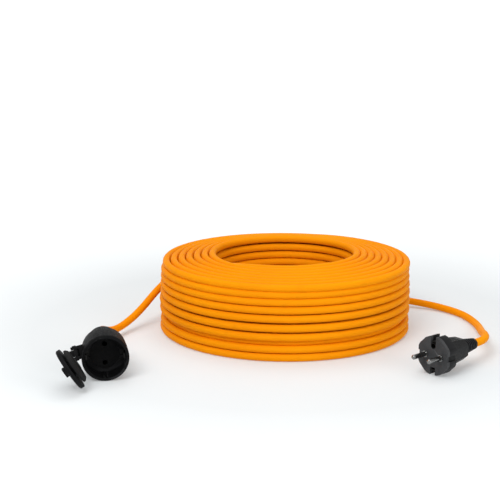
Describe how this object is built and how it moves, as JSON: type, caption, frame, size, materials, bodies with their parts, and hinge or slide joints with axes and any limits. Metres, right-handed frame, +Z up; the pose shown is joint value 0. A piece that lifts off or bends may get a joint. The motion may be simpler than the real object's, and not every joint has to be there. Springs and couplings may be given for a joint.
{
  "type": "extension cord",
  "caption": "Coiled extension cord: round three-core cord with an earthed two-pin plug and a coupler socket under a hinged splash cap.",
  "frame": {"origin": "on the coil's axis, at the floor that the coil lies on", "axes": "+Z up along the coil's axis; the coupler socket's mouth faces roughly -Y and the plug lies at +X"},
  "size_m": [0.4316, 0.3917, 0.0874],
  "materials": {
    "cord_jacket": "smooth, slightly glossy orange jacket",
    "coupler_plastic": "matte black",
    "carrier_plastic": "matte black",
    "brass_contacts": "plain stamped brass",
    "steel_screws": "zinc plated",
    "clamp_plastic": "matte grey",
    "relief_rubber": "soft matte black",
    "cap_rubber": "matte black",
    "seal_rubber": "soft black",
    "plug_face_plastic": "fine textured dark grey",
    "plug_plastic": "satin black",
    "plated_pins": "bright nickel plate",
    "core_brown": "glossy insulation",
    "core_blue": "glossy insulation",
    "core_green_yellow": "glossy insulation"
  },
  "bodies": {
    "root": {"cord_coil": "cord_jacket", "cord_tail_socket": "cord_jacket", "cord_tail_plug": "cord_jacket", "coupler_housing": "coupler_plastic", "coupler_contact_carrier": "carrier_plastic", "coupler_contact_live": "brass_contacts", "coupler_contact_neutral": "brass_contacts", "coupler_earth_strip": "brass_contacts", "coupler_terminal_screws": "steel_screws", "coupler_rear_cover": "coupler_plastic", "coupler_cover_screws": "steel_screws", "coupler_cord_clamp": "clamp_plastic", "coupler_clamp_screws": "steel_screws", "coupler_strain_relief": "relief_rubber", "coupler_cord_end": "cord_jacket", "coupler_core_live": "core_brown", "coupler_core_neutral": "core_blue", "coupler_core_earth": "core_green_yellow", "hinge_pin": "cap_rubber", "plug_face": "plug_face_plastic", "plug_shell": "plug_plastic", "plug_pin_live": "plated_pins", "plug_pin_neutral": "plated_pins", "plug_earth_strip": "brass_contacts", "plug_earth_tube": "brass_contacts", "plug_terminal_screws": "steel_screws", "plug_cover_screws": "steel_screws", "plug_cord_clamp": "clamp_plastic", "plug_clamp_screws": "steel_screws", "plug_strain_relief": "relief_rubber", "plug_cord_end": "cord_jacket", "plug_core_live": "core_brown", "plug_core_neutral": "core_blue", "plug_core_earth": "core_green_yellow"},
    "cap": {"cap_shell": "cap_rubber", "cap_seal_disc": "seal_rubber", "cap_rivet": "seal_rubber"}
  },
  "joints": [
    {"name": "cap_hinge", "type": "hinge", "parent": "root", "child": "cap", "pos_m": [-0.19875, -0.2015, 0.027], "axis": [-0.2916, 0.2661, 0.9188], "range_deg": [-20, 92]}
  ]
}
